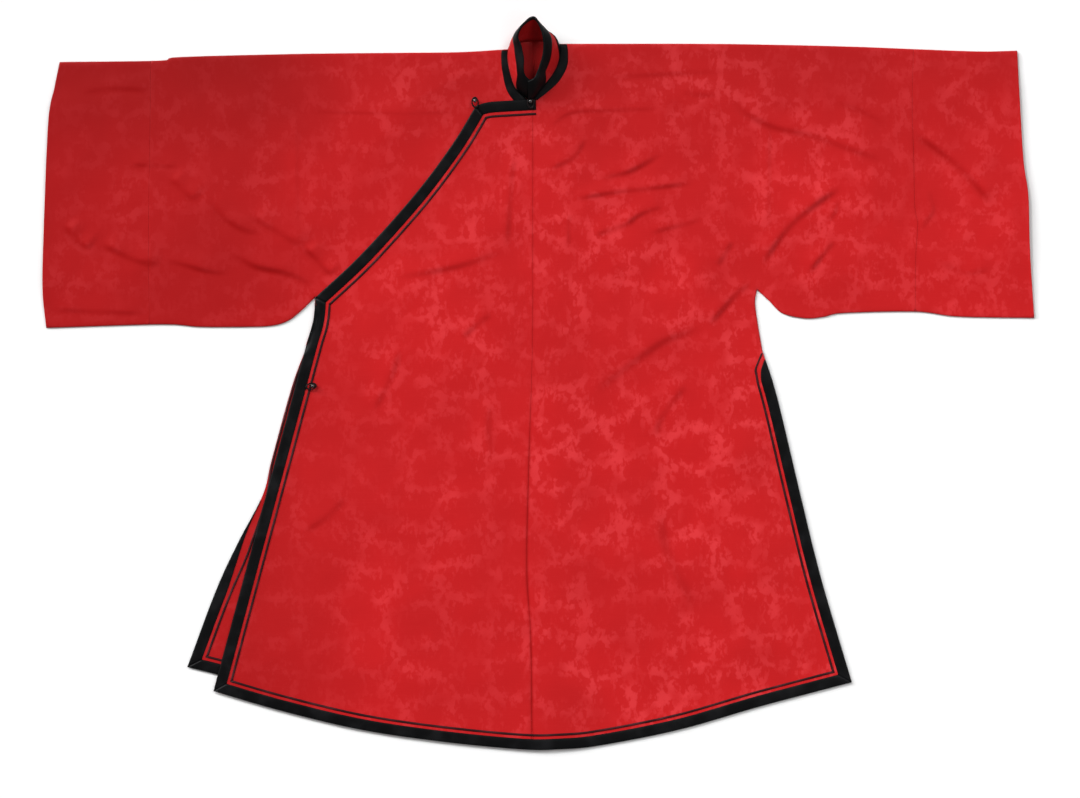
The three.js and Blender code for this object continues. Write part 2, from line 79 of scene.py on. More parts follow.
SHOULDER_RIGHT = [(-669, -20), (-528, -18), (-499, -13), (-330, -8.5), (-188, -7), (-103, -6), (-36, -2)]
SHOULDER_LEFT = [(36, 5.7), (236, 5.7), (350, 4.2), (460, 1.4), (545, -2), (630, -5), (684.5, -4)]
CUFF_RIGHT = [(-669, -20), (-676, -55), (-685, -106), (-691.5, -259), (-693, -343), (-688, -396)]
CUFF_LEFT = [(684.5, -4), (687, -55), (693, -157), (700, -208), (702, -280), (708.5, -382)]
UNDERARM_RIGHT = [
    (-688, -396), (-527, -391), (-470, -394.5), (-400, -394.5), (-370, -393), (-348, -387),
    (-330, -374), (-307, -352),
]
UNDERARM_LEFT = [
    (316.8, -342), (335, -359), (353, -375.5), (385, -382.5), (411, -380.5), (440, -375),
    (541, -373), (601, -380), (708.5, -382),
]
SEAM_LEFT = [(316.8, -342), (314, -359), (317, -385), (324, SLIT_TOP)]
SLIT_LEFT = [(324, SLIT_TOP), (345, -496), (377.5, -632), (407, -751), (450, -896.5)]
SEAM_RIGHT = [(-307, -352), (-306, -384), (-315, -410), (-322, SLIT_TOP)]
SLIT_RIGHT = [
    (-322, SLIT_TOP), (-340.8, -479), (-369, -581), (-382, -632), (-417, -700), (-448, -768),
    (-488, -875),
]
HEM = [
    (-451, -909), (-358, -936), (-245, -963), (-131, -980), (-18, -991), (38, -991), (95, -985.6),
    (208, -963), (321, -930.5), (450, -896.5),
]
PLACKET_TOP = [(0, -73.2), (-30, -75), (-60, -77), (-72, -79.5), (-81, -83.4)]
PLACKET_END = (4.2, -73.2)  # its binding runs on past the centre seam
PLACKET_SLANT = [(-81, -83.4), (-109, -130), (-150, -187), (-197, -243), (-250, -300), (-307, -353)]
OVERLAP_SIDE = [(-307, -353), (-310, -385), (-318, -413), (-451, -909)]
CENTRE_SEAM = [(0, -73.2), (0, -250), (-0.5, -420), (-5.7, -592), (-8.5, -734), (-2.8, -837), (-1, -991)]
SLEEVE_SEAM_LEFT = [(538, -1.7), (536, -83), (538, -142), (540, -225), (544, -250), (541, -300), (541, -373)]
SLEEVE_SEAM_RIGHT = [(-540, -18.2), (-541, -120), (-543, -260), (-542, -391.4)]
NECK_LEFT = [(36, 5.7), (38.5, -8), (36.5, -27), (22, -49), (2, -71), (0, -73.2)]
NECK_RIGHT = [(INNER_FRONT_EDGE, -66.5), (-28, -57), (-35, -32), (-36.5, -12), (-36, -2)]

# Creases and folds: height, width, then the line that each follows.
CREASES = [
    # the left sleeve
    (3.6, 8, [(276, -62), (301, -91), (340, -112), (393, -124), (445, -142), (505, -163)]),
    (1.8, 7, [(424, -74), (470, -92), (501, -112)]),
    (5.0, 8, [(536, -117), (556, -132), (600, -166), (621, -187), (654, -227)]),
    (5.0, 8, [(439, -195), (398, -223), (359, -257), (321, -310)]),
    (4.2, 7, [(428, -271), (410, -293), (388, -320)]),
    (1.8, 6, [(432, -214), (427, -232), (417, -246)]),
    (1.8, 6, [(557, -198), (566, -228), (556, -246), (545, -262)]),
    (1.4, 7, [(575, -300), (610, -318), (650, -312)]),
    # folds it was stored in
    (2.2, 5, [(18, -119), (52, -93), (110, -89), (184, -86)]),
    (1.0, 4, [(-329, -90), (-200, -93), (-95, -91)]),
    (0.8, 5, [(-332, -92), (-333, -180), (-331, -271)]),
    (1.1, 5, [(334, -100), (334, -187), (333, -262)]),
    # the left front
    (2.4, 6, [(21, -173), (59, -154), (75, -126)]),
    (4.4, 7, [(96, -188), (107, -182), (139, -174), (184, -149)]),
    (3.8, 6, [(54, -215), (113, -205), (174, -198), (230, -191)]),
    (3.4, 6, [(129, -249), (158, -233), (184, -225)]),
    (2.6, 7, [(85, -266), (133, -249), (150, -240)]),
    (2.2, 6, [(161, -263), (189, -256), (240, -243)]),
    (2.0, 7, [(100, -42), (199, -37), (276, -33)]),
    (1.8, 7, [(206, -62), (240, -67), (266, -68)]),
    (1.6, 5, [(52, -233), (50, -260), (52, -284)]),
    (2.6, 7, [(283, -272), (272, -290), (260, -310)]),
    (4.2, 8, [(311, -332), (288, -348), (246, -395)]),
    (3.4, 10, [(246, -395), (189, -413), (133, -451), (85, -488)]),
    (2.6, 9, [(218, -474), (180, -526), (175, -554)]),
    (2.4, 12, [(180, -649), (189, -714), (232, -799)]),
    # the right front
    (3.2, 8, [(-197, -325), (-110, -310), (-37, -286)]),
    (2.4, 7, [(-37, -286), (-28, -168), (-18, -154)]),
    (2.8, 8, [(-57, -375), (-80, -392), (-103, -413)]),
    (2.0, 9, [(-61, -498), (-63, -540), (-57, -583)]),
    (2.4, 8, [(-188, -423), (-198, -460), (-226, -516)]),
    (2.4, 9, [(-325, -686), (-293, -664), (-263, -635)]),
    # the right sleeve
    (5.0, 8, [(-662, -248), (-656, -256), (-645, -271), (-624, -287)]),
    (5.0, 8, [(-612, -276), (-585, -290), (-560, -301), (-524, -308)]),
    (4.4, 7, [(-520, -300), (-489, -308), (-461, -316), (-428, -320)]),
    (5.8, 8, [(-430, -288), (-414, -297), (-390, -310), (-352, -318), (-325, -328), (-308, -342)]),
    (3.8, 8, [(-514, -182), (-496, -200), (-474, -218)]),
    (4.4, 8, [(-456, -210), (-438, -238), (-408, -258), (-380, -262)]),
    (3.6, 8, [(-402, -232), (-385, -246), (-344, -270), (-325, -284)]),
    (5.0, 7, [(-324, -280), (-303, -302), (-280, -326)]),
    (3.0, 8, [(-640, -64), (-590, -58), (-532, -62)]),
    (2.6, 7, [(-682, -370), (-626, -373), (-544, -376)]),
    (2.4, 6, [(-572, -165), (-540, -167), (-500, -168)]),
]

BACK_NECK = np.array([[32, 7], [20, 12], [-HAIR, 14]])

# The collar from its lower end at the throat round the wearer's right side and the back to its upper end.
COLLAR = [  # seam with the neck (x, y, z), upper edge (x, y, z), how far its face rounds out
    ((-1, -74, 3.4), (4, -48.5, 24.5), 4),
    ((-12, -68, 3.2), (-5, -47, 26.5), 4),
    ((-25, -55, 3.2), (-12.5, -38, 30), 4),
    ((-33, -31, 3.2), (-13.5, -18, 32), 4),
    ((-35.5, -10, 3.2), (-17, 1, 33), 4),
    ((-30, 3.5, 2.4), (-21.5, 15, 34), 5),
    ((-16, 8.5, 1.6), (-13.5, 31, 34), 5),
    ((1, 10, 1.4), (1, 41.5, 32), 4),
    ((18, 10, 1.6), (9.5, 29, 33), 6),
    ((32.5, 7, 2.6), (14.5, 13, 34), 7),
    ((37.5, -7, 3.8), (15.5, -1, 33), 5),
    ((33.5, -27, 3.6), (13, -17, 32), 4),
    ((20, -47, 3.6), (7, -34, 30), 4),
    ((5, -66, 5.6), (2, -44.5, 28.5), 4),
    ((-7, -76, 7.0), (-7, -49, 26.5), 4),
]
# The neck's flat bands beside it: edge at the collar's seam, outer edge.
NECK_BAND_RIGHT = [
    ((-3, -77), (-12, -86)),
    ((-13, -69), (-24, -78)),
    ((-25, -56), (-37, -60)),
    ((-33, -31), (-43.5, -33)),
    ((-35.5, -12), (-45, -13)),
    ((-36, -3), (-44.5, -3.5)),
]
NECK_BAND_LEFT = [
    ((37, 5.2), (48, 5.2)),
    ((38, -6), (49.5, -8)),
    ((33.5, -27), (48, -27)),
    ((20.5, -47), (37, -47)),
    ((7, -65), (21, -62.5)),
    ((1, -72), (6, -74)),
]
NECK_TURN_UP = (6.9, 11.0, 0.46)  # rows of the collar between which its band stands up it, and how far
COLLAR_THICK = 1.4
NECK_LIFT = 0.45  # height of the neck's bands over the cloth
BINDING_FROM = 0.69  # share of the collar's height below its binding
BINDING_INSIDE = 0.86  # the same on the collar's inner side
BINDING_END = (0.11, 0.17)  # shares of its length between which the binding turns down the end
INSIDE_END = (0.0, 0.06)
BUTTONS = [  # name, ball (x, y), way its loop runs
    ("throat", (-3.5, -76), (0.1, -1)),
    ("corner", (-82, -75), (0.1, -1)),
    ("side", (-311, -478), (-1, -0.2)),
]
BUTTON_FLOOR = 7.5  # height of the underside of a ball and its loop
BUTTON_RADIUS = 2.9
LOOP = (4.3, 6.8, 0.9)  # half its width and length, and the radius of its cord

# Sections of a strip: share of the width in from the edge, height over the cloth.
BAND_SECTION = [
    (0.055, -1.55), (0.0, -1.6), (-0.028, -1.2), (-0.035, -0.5), (-0.02, 0.3), (0.02, 0.72), (0.10, 0.95),
    (0.30, 1.08), (0.55, 1.1), (0.80, 1.02), (0.93, 0.8), (0.985, 0.45), (1.0, 0.05), (0.99, -0.3),
    (0.5, -0.35), (0.055, -0.4),
]
CORD_SECTION = [(0.0, -0.25), (0.04, 0.5), (0.24, 0.98), (0.5, 1.15), (0.76, 0.98), (0.96, 0.5), (1.0, -0.25)]
FLAT_SECTION = [
    (0.0, 0.35), (0.02, 0.02), (0.98, 0.02), (1.0, 0.3), (1.0, 0.9), (0.97, 1.15), (0.03, 1.15), (0.0, 0.85),
]
NECK_SECTION = [
    (0.0, -0.5), (0.0, 0.25), (0.08, 0.62), (0.3, 0.9), (0.55, 0.95), (0.8, 0.8), (0.95, 0.45), (1.0, -0.1),
    (0.97, -0.5), (0.5, -0.55),
]
STRIP_STEP = 3.5

# The trims narrow up the left slit: heights, and the share that is left at each.
BAND_AT_SLIT = ((-465.0, -452.0, -439.0), (1.0, 0.72, 0.02))
PIPING_AT_SLIT = ((-470.0, -449.0, -431.0), (1.0, 0.86, 0.0))
SLIT_TRIM_TOP = (-441.0, -431.0)  # where its binding and its piping end
# On the inner front they come out from under the overlap: least distance in, from and to how far down.
INNER_BAND_FROM = (0.6, 640.0, 775.0)
INNER_CORD_FROM = (0.4, 590.0, 730.0)
INNER_CORD_TOP = -375.0

# ------------------------------------------------------------------ small geometry


def curve(rows, per=24):
    """Points of a smooth curve through the rows, so many from each row to the next."""
    p = np.array(rows, float)
    ends = np.vstack([2 * p[0] - p[1], p, 2 * p[-1] - p[-2]])
    out = []
    for a, b, c, d in zip(ends[:-3], ends[1:-2], ends[2:-1], ends[3:], strict=True):
        t = np.linspace(0, 1, per, endpoint=False)[:, None]
        square, cube = 2 * a - 5 * b + 4 * c - d, 3 * b - a - 3 * c + d
        out.append(0.5 * (2 * b + (c - a) * t + square * t**2 + cube * t**3))
    return np.vstack([*out, p[-1:]])


def spline(rows, step=4.0):
    """Evenly spaced points of that curve."""
    return even(curve(rows), step=step)


def even(points, step=None, count=None):
    """The same path with points at equal steps."""
    length = np.concatenate([[0], np.cumsum(np.linalg.norm(np.diff(points, axis=0), axis=1))])
    count = count or max(2, round(length[-1] / step) + 1)
    at = np.linspace(0, length[-1], count)
    return np.stack([np.interp(at, length, points[:, k]) for k in range(points.shape[1])], 1)


def clip(path, limit, side, axis=0):
    """The part of a path on one side of an upright (axis 0) or level line, ending on it."""
    keep = side * (path[:, axis] - limit) >= 0
    out = []
    for i, p in enumerate(path):
        if keep[i]:
            out.append(p)
        if i + 1 < len(path) and keep[i] != keep[i + 1]:
            q = path[i + 1]
            out.append(p + (q - p) * (limit - p[axis]) / (q[axis] - p[axis]))
    return np.array(out)


def join(*paths, same=0.3):
    """Paths end to end, without points that repeat."""
    out = []
    for p in np.vstack(paths):
        if not out or np.hypot(*(p - out[-1])) > same:
            out.append(p)
    if np.hypot(*(out[0] - out[-1])) < same:
        out.pop()
    return np.array(out)


def smooth(low, high, value):
    """0 at low, 1 at high, smooth between; low may be the larger one."""
    t = np.clip((value - low) / (high - low), 0, 1)
    return t * t * (3 - 2 * t)


def along(path, x, y):
    """(signed distance, share of the length) of points from a path; left of its direction is positive."""
    lengths = np.linalg.norm(np.diff(path, axis=0), axis=1)
    total, done = lengths.sum(), 0.0
    best, share = np.full(np.shape(x), 1e9), np.zeros(np.shape(x))
    for (ax, ay), (bx, by), length in zip(path[:-1], path[1:], lengths, strict=True):
        dx, dy = (bx - ax) / length, (by - ay) / length
        s = np.clip((x - ax) * dx + (y - ay) * dy, 0, length)
        off = np.hypot(x - ax - s * dx, y - ay - s * dy)
        side = np.where((y - ay) * dx - (x - ax) * dy >= 0, 1, -1)
        nearer = off < np.abs(best)
        best = np.where(nearer, off * side, best)
        share = np.where(nearer, (done + s) / total, share)
        done += length
    return best, share


def distance(path, x, y):
    return np.abs(along(path, x, y)[0])


def inside(outline, x, y):
    """Whether points are inside a closed outline."""
    odd = np.zeros(np.shape(x), bool)
    for (ax, ay), (bx, by) in zip(outline, np.roll(outline, -1, axis=0), strict=True):
        if ay != by:
            odd ^= ((ay > y) != (by > y)) & (x < (bx - ax) * (y - ay) / (by - ay) + ax)
    return odd


def ripple(x, y, size, seed=0.0):
    """Smooth noise over the plane, about -1 to 1."""
    points = zip(np.ravel(x), np.ravel(y), strict=True)
    flat = [noise.noise(Vector((a / size, b / size, seed))) for a, b in points]
    return np.reshape(flat, np.shape(x)) * 1.6


def normals(path):
    """The unit normal on a path's left at each point."""
    t = np.gradient(path, axis=0)
    t /= np.linalg.norm(t, axis=1)[:, None]
    return np.stack([-t[:, 1], t[:, 0]], 1)


def inset(paths, far):
    """Paths that meet at corners, moved to their left by a distance (or a function of points) and mitred."""
    out = []
    for path in paths:
        reach = far(path) if callable(far) else np.full(len(path), float(far))
        out.append(path + normals(path) * reach[:, None])
    for k in range(len(paths) - 1):
        corner = paths[k][-1]
        before = normals(paths[k])[-1]
        after = normals(paths[k + 1])[0]
        mitre = (before + after) / np.linalg.norm(before + after)
        reach = far(corner[None])[0] if callable(far) else far
        meet = corner + mitre * reach / (mitre @ before)
        travel = np.array([mitre[1], -mitre[0]])
        near = 4 * abs(reach) + 1
        a, b = out[k] - corner, out[k + 1] - corner
        before_it = (np.linalg.norm(a, axis=1) >= near) | (a @ travel < -0.2)
        after_it = (np.linalg.norm(b, axis=1) >= near) | (b @ travel > 0.2)
        out[k] = np.vstack([out[k][before_it], meet])
        out[k + 1] = np.vstack([meet, out[k + 1][after_it]])
    return out


PATHS = {
    name: spline(rows)
    for name, rows in {
        "shoulder_right": SHOULDER_RIGHT,
        "shoulder_left": SHOULDER_LEFT,
        "cuff_right": CUFF_RIGHT,
        "cuff_left": CUFF_LEFT,
        "underarm_right": UNDERARM_RIGHT,
        "underarm_left": UNDERARM_LEFT,
        "seam_left": SEAM_LEFT,
        "slit_left": SLIT_LEFT,
        "seam_right": SEAM_RIGHT,
        "slit_right": SLIT_RIGHT,
        "hem": HEM,
        "placket_top": PLACKET_TOP,
        "placket_slant": PLACKET_SLANT,
        "centre_seam": CENTRE_SEAM,
        "sleeve_seam_left": SLEEVE_SEAM_LEFT,
        "sleeve_seam_right": SLEEVE_SEAM_RIGHT,
        "neck_left": NECK_LEFT,
        "neck_right": NECK_RIGHT,
    }.items()
}
PATHS["overlap_side"] = join(spline(OVERLAP_SIDE[:3]), even(np.array(OVERLAP_SIDE[2:], float), step=4))
INNER_HEM = np.vstack([[SLIT_RIGHT[-1]], clip(PATHS["hem"] + (0, INNER_SHORTER), -448, 1)])
INNER_HEM = even(INNER_HEM, step=4)

# ------------------------------------------------------------------ heights

SEWN = [PATHS[f"{edge}_{side}"] for edge in ("shoulder", "underarm", "seam") for side in ("right", "left")]
CUFFS = [PATHS[k] for k in ("cuff_right", "cuff_left")]
BOUND = [PATHS[k] for k in ("placket_top", "placket_slant", "overlap_side", "seam_left", "slit_left", "hem")]
CREASE_PATHS = [(height, width, spline(line, 6)) for height, width, line in CREASES]


def least(paths, x, y):
    """Distance to the nearest of the paths."""
    return np.min([distance(path, x, y) for path in paths], axis=0)


def creases(x, y):
    """(height, shade) of the creases: a soft rise on the lit side that drops into a narrow valley."""
    height, shade = np.zeros(np.shape(x)), np.zeros(np.shape(x))
    for crest, width, path in CREASE_PATHS:
        low, high = path.min(0) - 5 * width, path.max(0) + 5 * width
        near = (x > low[0]) & (x < high[0]) & (y > low[1]) & (y < high[1])
        if not near.any():
            continue
        off, share = along(path, x[near], y[near])
        if normals(path).mean(0) @ LIGHT_FROM < 0:
            off = -off
        taper = smooth(0, 0.22, share) * smooth(0, 0.22, 1 - share)
        taper *= 0.75 + 0.25 * np.sin(9 * share + crest * 5)
        crown = 0.6 * width
        rise = np.exp(-(((off - crown) / np.where(off > crown, 2.0 * width, 0.75 * width)) ** 2))
        valley = np.exp(-(((off + 0.35 * width) / (0.6 * width)) ** 2))
        height[near] += CREASE_RISE * crest * taper * (rise - 0.35 * valley)
        dark = np.exp(-(((off + 0.2 * width) / (0.5 * width + 1.3)) ** 2))
        shade[near] += CREASE_SHADE * crest * taper * dark
    return height, shade


def crease_near(x, y):
    """Below 0 where a point is so near a crease that the grid is closer there."""
    return np.min([distance(path, x, y) - 2.2 * width for _, width, path in CREASE_PATHS], axis=0)


def seams(x, y, side):
    """Depth and shade of the grooves at the centre seam and the sleeve's seam, with their puckers."""
    # random strength along each seam, for its groove and for its painted shade
    patchy = np.clip(0.55 + 0.6 * ripple(x * 0, y, 60, 11.0), 0.1, 1)
    if side > 0:
        lines = [(PATHS["sleeve_seam_left"], 0.4 * patchy * smooth(-390, -330, y))]
        lines.append((PATHS["centre_seam"], (0.35 + 0.65 * smooth(-480, -620, y)) * (0.5 + 0.5 * patchy)))
    else:
        lines = [(PATHS["sleeve_seam_right"], 0.05 * patchy)]
    depth, shade = np.zeros(np.shape(x)), np.zeros(np.shape(x))
    for path, strong in lines:
        off = distance(path, x, y)
        pucker = 0.2 * np.sin(y / 2.1 + 4 * ripple(x * 0, y, 30, 3.0)) * np.exp(-((off / 8) ** 2))
        depth += strong * (SEAM_DEEP * np.exp(-((off / 2.2) ** 2)) - pucker)
        shade += strong * np.exp(-((off / 1.9) ** 2))
    return depth, shade


def relief(x, y):
    """How far unpressed cloth stands up: nothing at its edges, then loft, broad waves and creases."""
    edge = np.minimum(least(BOUND, x, y), least(SEWN, x, y) + 12)
    neck = np.hypot(x - NECK_CENTRE[0], y - NECK_CENTRE[1])
    rise = smooth(*FLAT_MARGIN, edge) * smooth(*NECK_FLAT, neck)
    waves = LOFT + 1.1 * ripple(x, y, 170, 1.0) + 0.8 * ripple(x, y, 75, 2.0) + 0.2 * ripple(x, y, 26, 4.0)
    height, shade = creases(x, y)
    at_edge = smooth(2, 16, least(BOUND, x, y))
    cuff = 1.3 * np.exp(-least(CUFFS, x, y) / 14) * (0.4 + 0.6 * np.abs(ripple(x, y, 60, 5.0)))
    return waves * rise + height * (0.3 + 0.7 * at_edge) + cuff, shade * at_edge


def rolled(top, x, y):
    """The upper side brought down round the folded and sewn edges."""
    away = np.clip(least(SEWN, x, y) / ROLL, 0, 1)
    return ROLL_LEVEL + (top - ROLL_LEVEL) * np.sqrt(1 - (1 - away) ** 2)


def front_level(x):
    """Height of the front's upper side before its relief: lower where no inner front lies under it."""
    return OVERLAP_TOP - (OVERLAP_TOP - INNER_TOP) * smooth(*STEP, x)


def front_top(x, y):
    """(height, shade) of the left front, the overlapping front and the left sleeve."""
    up, shade = relief(x, y)
    depth, dark = seams(x, y, 1)
    droop = 1.2 * smooth(28, 0, distance(PATHS["hem"], x, y)) * smooth(20, -60, x)
    return rolled(front_level(x) + up - depth - droop, x, y), shade + dark


def inner_top(x, y):
    """The same for the inner front and the right sleeve. Under the overlapping front they lie flat."""
    up, shade = relief(x, y)
    depth, dark = seams(x, y, -1)
    shown = ~inside(OVERLAP_OUTLINE, x, y) & (y >= INNER_FLAT)
    return rolled(INNER_TOP + (up - depth) * shown, x, y), (shade + dark) * shown


def back_under(x, y):
    """The underside of the back: on the floor, and up round the edges that are folded or sewn."""
    away = np.clip(least(SEWN, x, y) / ROLL, 0, 1)
    return ROLL_LEVEL * (1 - np.sqrt(1 - (1 - away) ** 2)), np.zeros(np.shape(x))


def front(x, y):
    return front_top(x, y)[0]


def inner(x, y):
    return inner_top(x, y)[0]


def level(x, y):
    return np.zeros(np.shape(x))

# ------------------------------------------------------------------ materials


# These are in the frame's millimetres.
FIELD = (66.0, 50.0)  # the damask's plain fields, across and along the cloth
WANDER = 30.0  # how far the scrolls between them stray
LIVELY_FRONT = (-420.0, 20.0, 0.5)  # from and to what x the figure comes out more, and by how much
FAINT_SLEEVE = (400.0, 580.0, 0.28)  # the same where it goes faint again on the left sleeve
SHOULDER_PAINTED_SHADE = (250.0, 480.0, 0.26)  # painted shade where less light falls: from and to what y the red deepens, and by how much
SLEEVE_PAINTED_SHADE = (-220.0, -450.0, 0.33)  # the same painted shade in x, towards the wearer's right sleeve
SCROLL_BREAK = 56.0  # how far leafy edges reach into the fields


class Nodes:
    """Short names for a material's nodes."""

    def __init__(self, name):
        self.material = bpy.data.materials.new(name)
        self.material.use_nodes = True
        self.tree = self.material.node_tree
        self.bsdf = self.tree.nodes["Principled BSDF"]

    def node(self, kind, inputs=(), **settings):
        made = self.tree.nodes.new(kind)
        for key, value in settings.items():
            setattr(made, key, value)
        for key, value in dict(inputs).items():
            self.put(made.inputs[key], value)
        return made

    def put(self, socket, value):
        if isinstance(value, bpy.types.NodeSocket):
            self.tree.links.new(value, socket)
        else:
            socket.default_value = value

    def math(self, operation, *values):
        return self.node("ShaderNodeMath", enumerate(values), operation=operation).outputs[0]

    def add(self, a, b):
        return self.math("ADD", a, b)

    def sub(self, a, b):
        return self.math("SUBTRACT", a, b)

    def mul(self, a, b):
        return self.math("MULTIPLY", a, b)

    def fade(self, value, low, high):
        """0 below low, 1 above high, smooth between; low may be the larger one."""
        made = self.node("ShaderNodeMapRange", {0: value, 1: low, 2: high}, interpolation_type="SMOOTHSTEP")
        return made.outputs[0]

    def share(self, value, low, high, most):
        """0 below low, most above high."""
        return self.mul(self.fade(value, low, high), most)

    def mix(self, share, a, b):
        made = self.node("ShaderNodeMix", {0: share, 6: a, 7: b}, data_type="RGBA")
        return made.outputs[2]

    def noise(self, vector, scale, detail=2.0):
        made = self.node("ShaderNodeTexNoise", {"Vector": vector, "Scale": scale, "Detail": detail})
        return made.outputs[0]

    def position(self):
        """(vector in metres, x in mm, y in mm) on the object."""
        vector = self.node("ShaderNodeTexCoord").outputs["Object"]
        xyz = self.node("ShaderNodeSeparateXYZ", {0: vector}).outputs
        return vector, self.mul(xyz[0], 1000.0), self.mul(xyz[1], 1000.0)

    def stretched(self, vector, scale):
        return self.node("ShaderNodeMapping", {"Vector": vector, "Scale": scale}).outputs[0]

    def bump(self, height, distance, strength=1.0, normal=None):
        inputs = {"Height": height, "Distance": distance, "Strength": strength}
        if normal is not None:
            inputs["Normal"] = normal
        return self.node("ShaderNodeBump", inputs).outputs[0]

    def finish(self, **inputs):
        for key, value in inputs.items():
            self.put(self.bsdf.inputs[key.replace("_", " ")], value)
        return self.material


def figure(n, vector, x, y):
    """The damask's figure: plain rounded fields that break off into leafy scrolls round them."""
    lively = n.sub(n.add(0.5, n.share(x, *LIVELY_FRONT)), n.share(x, *FAINT_SLEEVE))
    for low, size in ((13.0, WANDER), (52.0, 0.35 * WANDER)):
        stray = [n.mul(n.sub(n.noise(vector, scale, 1.0), 0.5), size) for scale in (low, 0.87 * low)]
        x, y = n.add(x, stray[0]), n.add(y, stray[1])
    at = n.node("ShaderNodeCombineXYZ", {0: n.mul(x, 1 / FIELD[0]), 1: n.mul(y, 1 / FIELD[1])}).outputs[0]
    cells = n.node(
        "ShaderNodeTexVoronoi", {"Vector": at, "Scale": 1.0, "Randomness": 0.75},
        feature="DISTANCE_TO_EDGE", voronoi_dimensions="2D",
    )
    border = n.mul(cells.outputs["Distance"], (FIELD[0] + FIELD[1]) / 2)
    leafy = n.mul(n.sub(n.noise(n.stretched(vector, (122.0, 92.0, 100.0)), 1.0, 2.0), 0.5), SCROLL_BREAK)
    scroll = n.fade(n.add(border, leafy), 8.5, -1.0)
    sprigs = n.noise(n.stretched(vector, (135.0, 72.0, 100.0)), 1.0, 2.0)
    sprigs = n.mul(n.fade(sprigs, 0.53, 0.63), n.fade(border, 26.0, 7.0))
    haze = n.mul(n.fade(border, 19.0, 2.0), 0.1)
    broken = n.fade(n.noise(vector, 30.0, 1.0), 0.34, 0.6)
    made = n.add(n.mul(n.math("MAXIMUM", scroll, n.mul(sprigs, 0.8)), 0.8), haze)
    return n.mul(n.mul(made, lively), n.add(0.3, n.mul(broken, 0.7)))


def scaled(colour, red, green, blue):
    """A colour with its red, green and blue each brought down to a share."""
    return (red * colour[0], green * colour[1], blue * colour[2], 1.0)


def silk(name, ground, light):
    """Silk damask: figure and ground differ in brightness and gloss, over a fine weave, with painted shade in
    its creases and seams and towards the shoulders and the wearer's right sleeve.
    """
    n = Nodes(name)
    vector, x, y = n.position()
    made = figure(n, vector, x, y)
    cloud = n.noise(vector, 5.5, 3.0)
    slub = n.noise(n.stretched(vector, (26.0, 640.0, 26.0)), 1.0, 2.0)
    colour = n.mix(made, ground, light)
    colour = n.mix(n.share(cloud, 0.62, 0.38, 0.5), colour, scaled(ground, 0.86, 0.86, 0.86))
    colour = n.mix(n.share(slub, 0.5, 0.75, 0.05), colour, light)
    # painted shade: the red is darker towards the shoulders and the wearer's right sleeve, where less light
    # falls
    painted_shade = n.add(n.share(y, *SHOULDER_PAINTED_SHADE), n.share(x, *SLEEVE_PAINTED_SHADE))
    colour = n.mix(painted_shade, colour, scaled(ground, 0.3, 0.1, 0.1))
    # painted shade: the cloth's red darkened in the valleys of its creases and along its seams, by the mesh's
    # shade attribute
    painted_crease_shade = n.node("ShaderNodeAttribute", attribute_name="shade").outputs["Fac"]
    colour = n.mix(n.math("MINIMUM", painted_crease_shade, 0.7), colour, scaled(ground, 0.58, 0.06, 0.06))
    weave = n.noise(n.stretched(vector, (1500.0, 2100.0, 1500.0)), 1.0, 1.0)
    normal = n.bump(weave, 0.0001, 0.25, n.bump(made, 0.00012, 0.4))
    rough = n.add(0.52, n.mul(made, -0.08))
    return n.finish(
        Base_Color=colour, Roughness=rough, Normal=normal, Specular_IOR_Level=0.09,
        Sheen_Weight=0.03, Sheen_Roughness=0.45,
    )


def satin(name, colour, gloss, rough=0.42):
    """Black silk satin, with a fine grain and a little unevenness."""
    n = Nodes(name)
    vector, _, _ = n.position()
    cloud = n.noise(vector, 38.0, 3.0)
    fine = n.noise(n.stretched(vector, (1700.0, 1700.0, 1700.0)), 1.0, 1.0)
    lighter = tuple(2.6 * c + 0.002 for c in colour[:3]) + (1.0,)
    shown = n.mix(n.fade(cloud, 0.42, 0.75), colour, lighter)
    normal = n.bump(fine, 0.0001, 0.3, n.bump(cloud, 0.0006, 0.5))
    return n.finish(
        Base_Color=shown, Roughness=n.add(rough, n.mul(n.sub(cloud, 0.5), 0.14)), Normal=normal,
        Specular_IOR_Level=gloss,
    )


def knot(name):
    """A small dark button with a dull shine."""
    n = Nodes(name)
    vector, _, _ = n.position()
    patchy = n.noise(vector, 900.0, 2.0)
    shown = n.mix(n.fade(patchy, 0.4, 0.7), (0.012, 0.010, 0.011, 1), (0.05, 0.045, 0.043, 1))
    normal = n.bump(patchy, 0.0002, 0.3)
    return n.finish(Base_Color=shown, Roughness=0.24, Specular_IOR_Level=0.6, Normal=normal)


def plain_floor(name):
    """The photo's white ground."""
    n = Nodes(name)
    vector, _, _ = n.position()
    tone = n.mix(n.noise(vector, 2.0, 1.0), (0.81, 0.81, 0.81, 1), (0.83, 0.83, 0.83, 1))
    return n.finish(Base_Color=tone, Roughness=0.9, Specular_IOR_Level=0.0)


SILK = silk("silk_damask", (0.462, 0.0085, 0.0100, 1), (0.585, 0.0310, 0.0360, 1))
LINED = silk("silk_inside", (0.44, 0.0100, 0.0110, 1), (0.47, 0.0150, 0.0170, 1))
SATIN = satin("black_satin", (0.0014, 0.0014, 0.0017, 1), 0.10)
PIPED = satin("piping_satin", (0.024, 0.0042, 0.0052, 1), 0.10, 0.5)
CORD = satin("loop_cord", (0.006, 0.0025, 0.003, 1), 0.12, 0.5)
BALL = knot("button_ball")

# ------------------------------------------------------------------ making pieces


def place(points):
    """Drawn millimetres to the frame's metres."""
    moved = np.array(points, float)
    moved[..., 0] += CENTRE[0]
    moved[..., 1] += CENTRE[1]
    return moved / 1000


